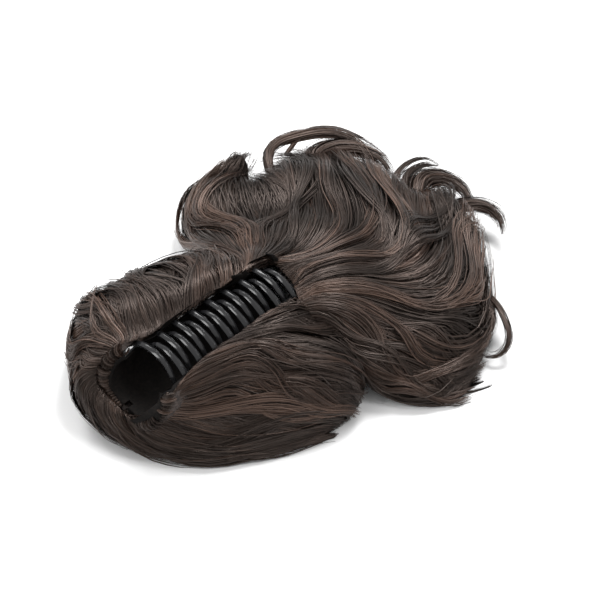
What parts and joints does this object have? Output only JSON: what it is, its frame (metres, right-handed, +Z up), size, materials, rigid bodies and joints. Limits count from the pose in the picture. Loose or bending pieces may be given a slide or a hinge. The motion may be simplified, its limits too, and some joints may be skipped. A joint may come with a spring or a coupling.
{
  "type": "clip-in ponytail extension",
  "caption": "Short wavy brown ponytail hairpiece sewn to a sprung jaw clip, lying with the clip's interlacing teeth up.",
  "frame": {"origin": "centre of the underside, where the hair lies on its surface", "axes": "+X along the clip, from its open mouth to the tail of hair; +Y to the clip's left side; +Z up, the way the teeth face"},
  "size_m": [0.212, 0.161, 0.0417],
  "materials": {
    "jaw_plastic": "polished black",
    "pin_steel": "plain steel wire",
    "weft_thread": "sewn weft",
    "hair_fibre": "soft sheen fibre, dark brown"
  },
  "bodies": {
    "left_side": {"left_jaw": "jaw_plastic", "hinge_pin": "pin_steel", "hinge_spring": "pin_steel", "left_weft": "weft_thread", "left_crown_hair": "hair_fibre", "tail_hair_left": "hair_fibre", "tail_hair_middle": "hair_fibre", "tail_hair_right": "hair_fibre"},
    "right_side": {"right_jaw": "jaw_plastic", "right_weft": "weft_thread", "right_tress_hair": "hair_fibre"}
  },
  "joints": [
    {"name": "jaw_hinge", "type": "hinge", "parent": "left_side", "child": "right_side", "pos_m": [-0.0497, -0.0015, 0.0107], "axis": [1, 0, 0], "range_deg": [0, 35], "stiffness_Nm_per_rad": 0.01, "springref_deg": -22.92, "deforming": ["hinge_spring"]}
  ]
}
